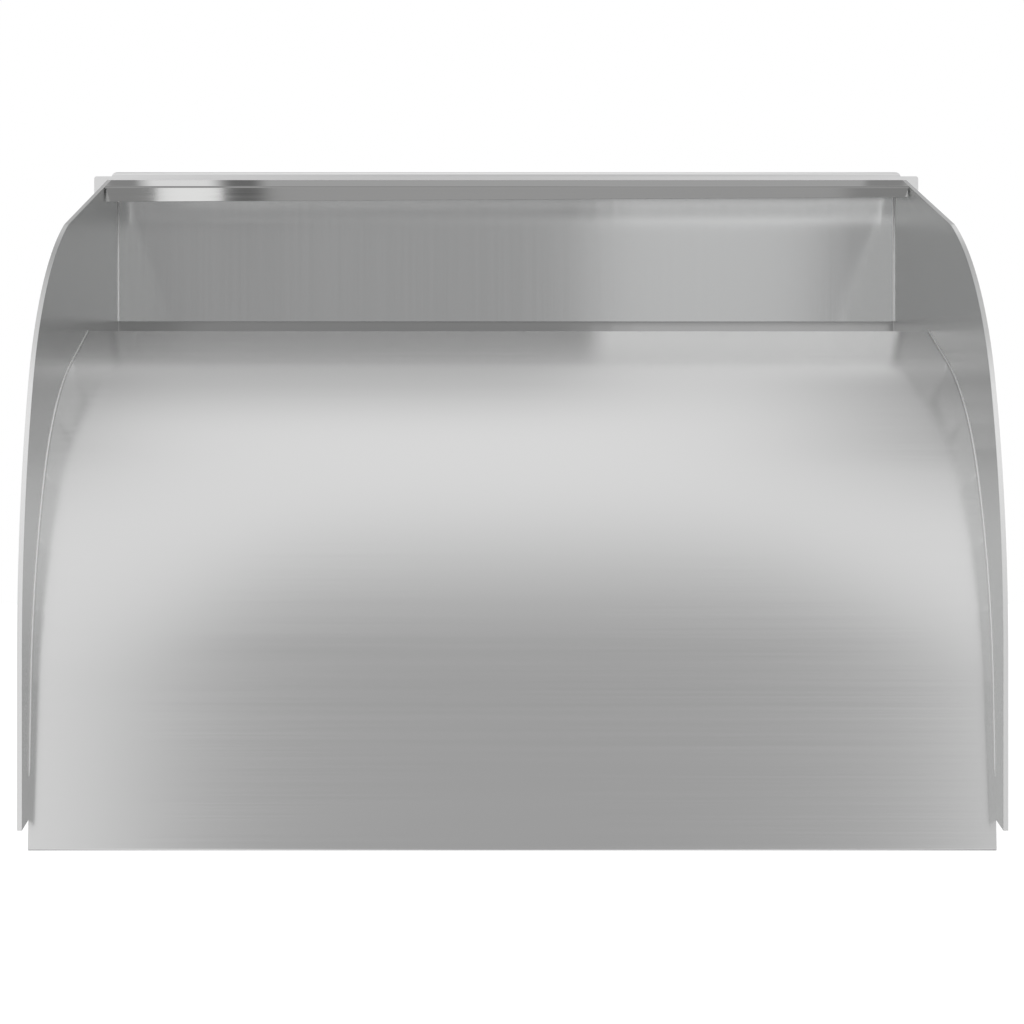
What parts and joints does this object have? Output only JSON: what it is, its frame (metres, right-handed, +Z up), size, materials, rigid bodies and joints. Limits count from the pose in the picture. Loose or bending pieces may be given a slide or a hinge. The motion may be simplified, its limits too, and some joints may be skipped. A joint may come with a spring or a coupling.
{
  "type": "wave water slide cascade",
  "caption": "Wall-hung stainless water slide: a low slot under a splash panel feeds one curved sheet between two curved side cheeks, with a hidden water chamber.",
  "frame": {"origin": "on the wall plane, at the centre of the wall fixing holes", "axes": "+Z up, +X to the right seen from the front, +Y into the wall; the slide faces -Y"},
  "size_m": [0.64, 0.3, 0.52],
  "materials": {
    "plate_steel": "fine matt ground stainless sheet",
    "cheek_steel": "bright stainless sheet with a fine grain",
    "slide_steel": "stainless sheet brushed across the slide",
    "panel_steel": "stainless sheet brushed upright",
    "polished_steel": "polished stainless sheet",
    "turned_steel": "turned stainless",
    "inner_steel": "plain mill-finish stainless",
    "weld_steel": "ground and brushed weld"
  },
  "bodies": {
    "root": {"mounting_plate": "plate_steel", "top_rail": "plate_steel", "bottom_rail": "plate_steel", "left_cheek": "cheek_steel", "right_cheek": "cheek_steel", "slide_sheet": "slide_steel", "back_panel": "panel_steel", "header_cover": "polished_steel", "chamber_tray": "inner_steel", "diffuser_strip": "inner_steel", "inlet_socket": "turned_steel", "inlet_stub": "inner_steel", "spreader_pipe": "inner_steel", "spreader_cap_left": "inner_steel", "spreader_cap_right": "inner_steel", "cradle_left": "inner_steel", "cradle_right": "inner_steel", "rib_left": "inner_steel", "rib_centre": "inner_steel", "rib_right": "inner_steel", "lower_crossbar": "inner_steel", "standoff_bushes": "turned_steel"}
  },
  "joints": []
}
